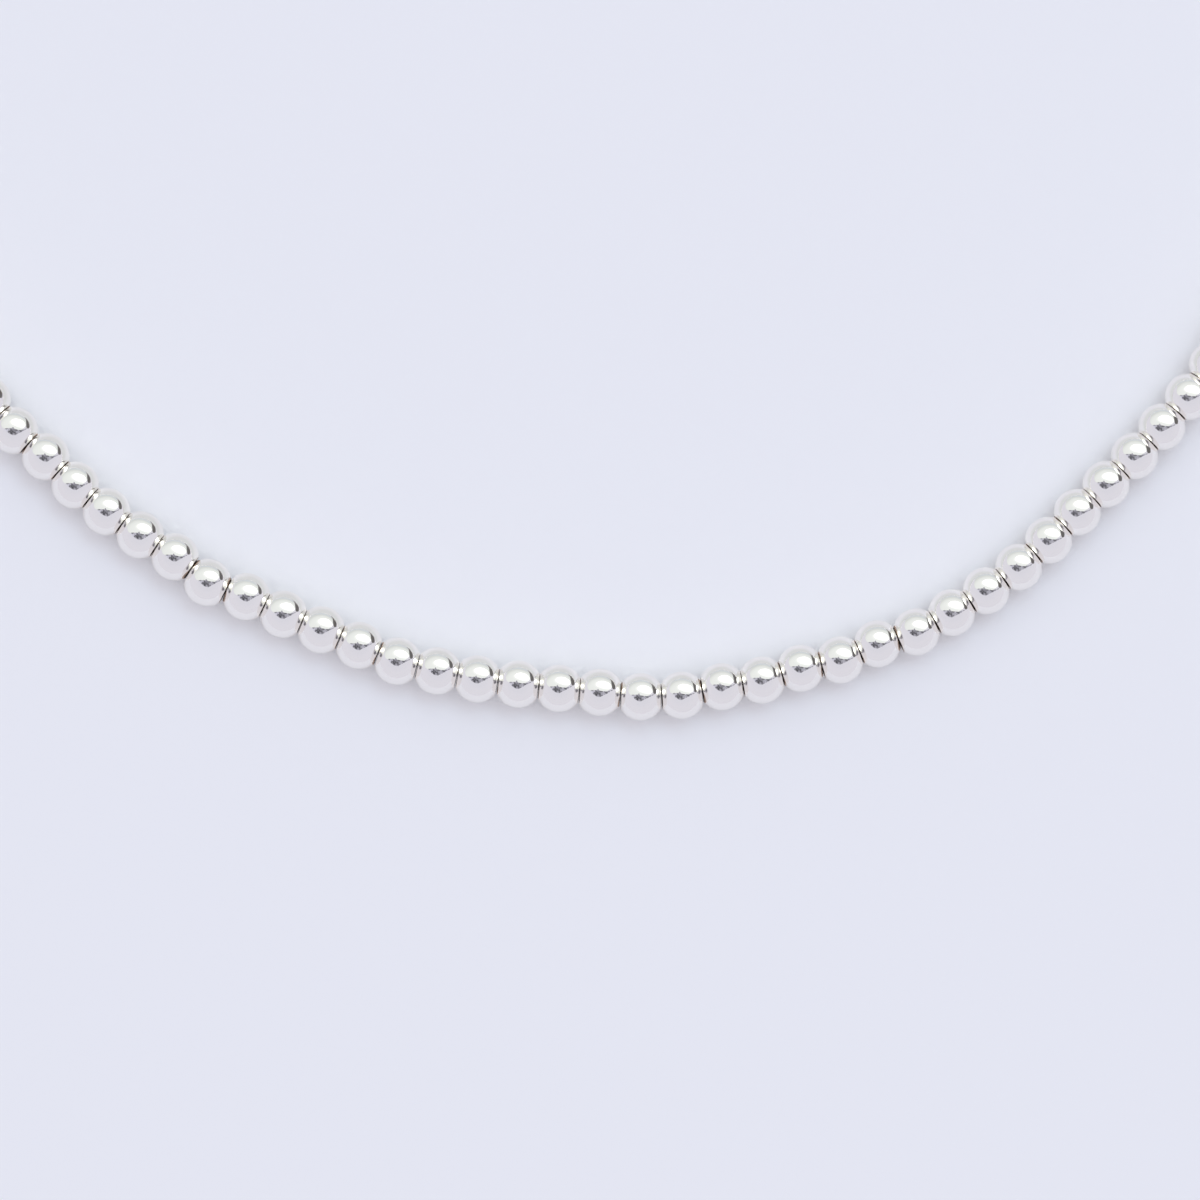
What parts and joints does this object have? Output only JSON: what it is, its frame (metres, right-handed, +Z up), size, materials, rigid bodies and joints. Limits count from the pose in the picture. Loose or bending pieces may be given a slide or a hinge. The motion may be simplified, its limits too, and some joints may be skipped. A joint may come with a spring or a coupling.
{
  "type": "ball chain necklace",
  "caption": "Loop of small round polished silver beads strung close together on a thin cable, closed at the back by a claw clasp, worn round the neck and laid flat here.",
  "frame": {"origin": "middle of the loop in plan, on the surface that the necklace lies on", "axes": "+Z up from the surface, -Y towards the front of the loop, +X across it to the wearer's left when worn"},
  "size_m": [0.1487, 0.1486, 0.004],
  "materials": {
    "bead_silver": "mirror polished silver",
    "clasp_silver": "polished silver",
    "cable_steel": "satin steel strand"
  },
  "bodies": {
    "root": {"bead_string_left": "bead_silver", "bead_string_right": "bead_silver", "cable": "cable_steel", "end_cap_left": "clasp_silver", "end_cap_right": "clasp_silver", "jump_ring": "clasp_silver", "catch_ring": "clasp_silver", "clasp": "clasp_silver"}
  },
  "joints": []
}
